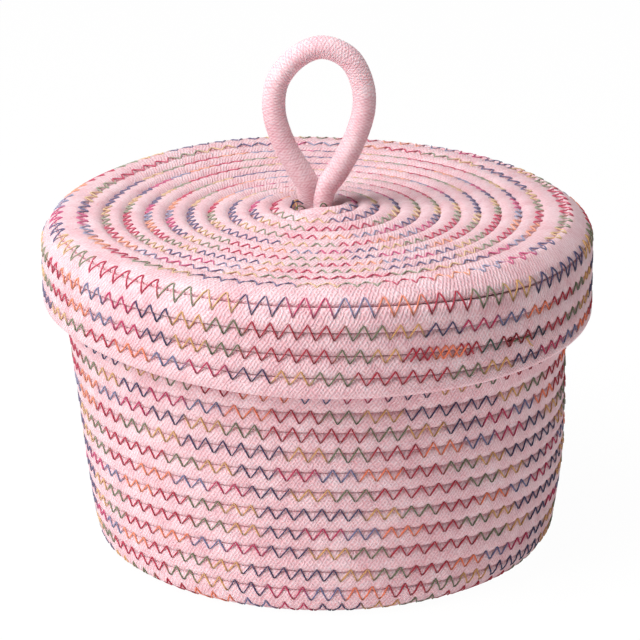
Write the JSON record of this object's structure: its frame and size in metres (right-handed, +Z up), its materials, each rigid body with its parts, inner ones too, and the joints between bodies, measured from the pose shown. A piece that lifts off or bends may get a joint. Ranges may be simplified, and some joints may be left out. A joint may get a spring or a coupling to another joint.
{
  "type": "lidded coiled rope basket",
  "caption": "Round storage basket of coiled, zigzag-sewn cotton rope with a lift-off slip-over lid and an upright rope loop handle.",
  "frame": {"origin": "middle of the basket's base, on the surface that it stands on", "axes": "+Z up through the lid and its loop, +X to the right across the front with the loop lying in the XZ plane, -Y towards the front"},
  "size_m": [0.1984, 0.1992, 0.1869],
  "materials": {
    "rope": "matte pale pink braided cotton rope, sewn with variegated thread",
    "loop_rope": "matte pink braided cotton rope"
  },
  "bodies": {
    "basket": {"basket_coil": "rope"},
    "lid": {"lid_coil": "rope", "handle_tail_left": "loop_rope", "handle_tail_right": "loop_rope"},
    "handle": {"handle_loop": "loop_rope"}
  },
  "joints": [
    {"name": "lid_lift", "type": "slide", "parent": "basket", "child": "lid", "axis": [0, 0, 1], "range_m": [0, 0.07]},
    {"name": "handle_lean", "type": "hinge", "parent": "lid", "child": "handle", "pos_m": [0, 0, 0.1295], "axis": [1, 0, 0], "range_deg": [-75, 75], "stiffness_Nm_per_rad": 0.02}
  ]
}
